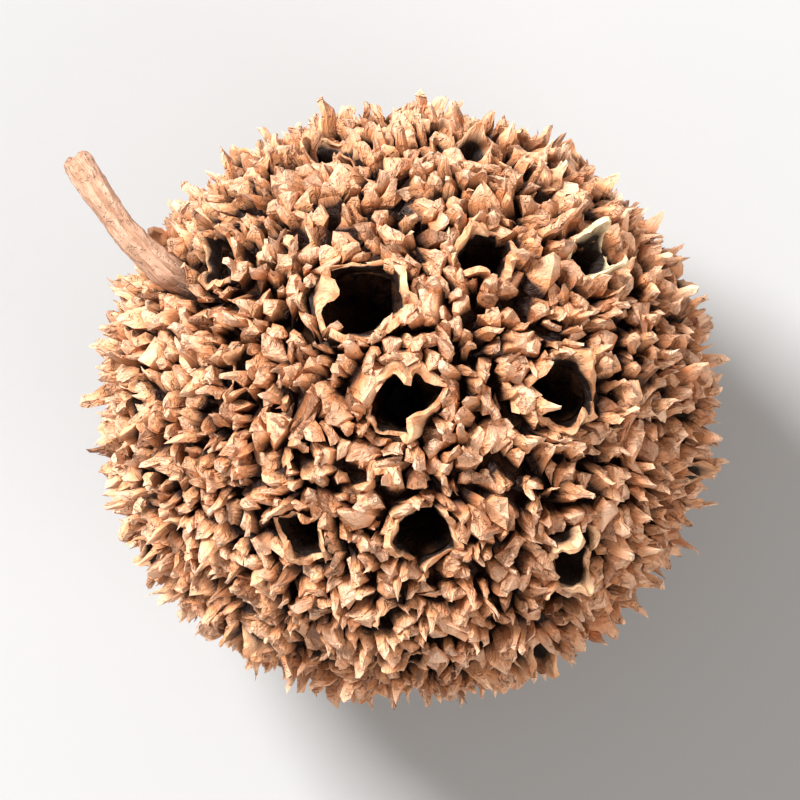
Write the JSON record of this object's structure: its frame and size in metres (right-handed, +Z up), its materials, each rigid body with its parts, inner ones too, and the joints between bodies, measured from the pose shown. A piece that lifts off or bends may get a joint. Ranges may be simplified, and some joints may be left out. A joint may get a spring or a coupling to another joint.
{
  "type": "sweetgum seed ball",
  "caption": "Dried round woody seed ball with open pointed-oval seed mouths, blunt pointed scales and a short stalk; rests on the worn tips of its lowest scales.",
  "frame": {"origin": "on the worn flat tip of the lowest scale, in the middle of the small flat spot that the ball rests on", "axes": "+Z up from the rest spot through the middle of the ball; the stalk leaves the side of the ball between -X and +Y"},
  "size_m": [0.031, 0.0286, 0.0278],
  "materials": {
    "scale_wood": "dry, matt, rough tan-brown woody scales, darker in the grooves",
    "stalk_wood": "dry, matt, lengthwise-fibred pale brown stalk"
  },
  "bodies": {
    "root": {"seed_ball": "scale_wood", "stalk": "stalk_wood"}
  },
  "joints": []
}
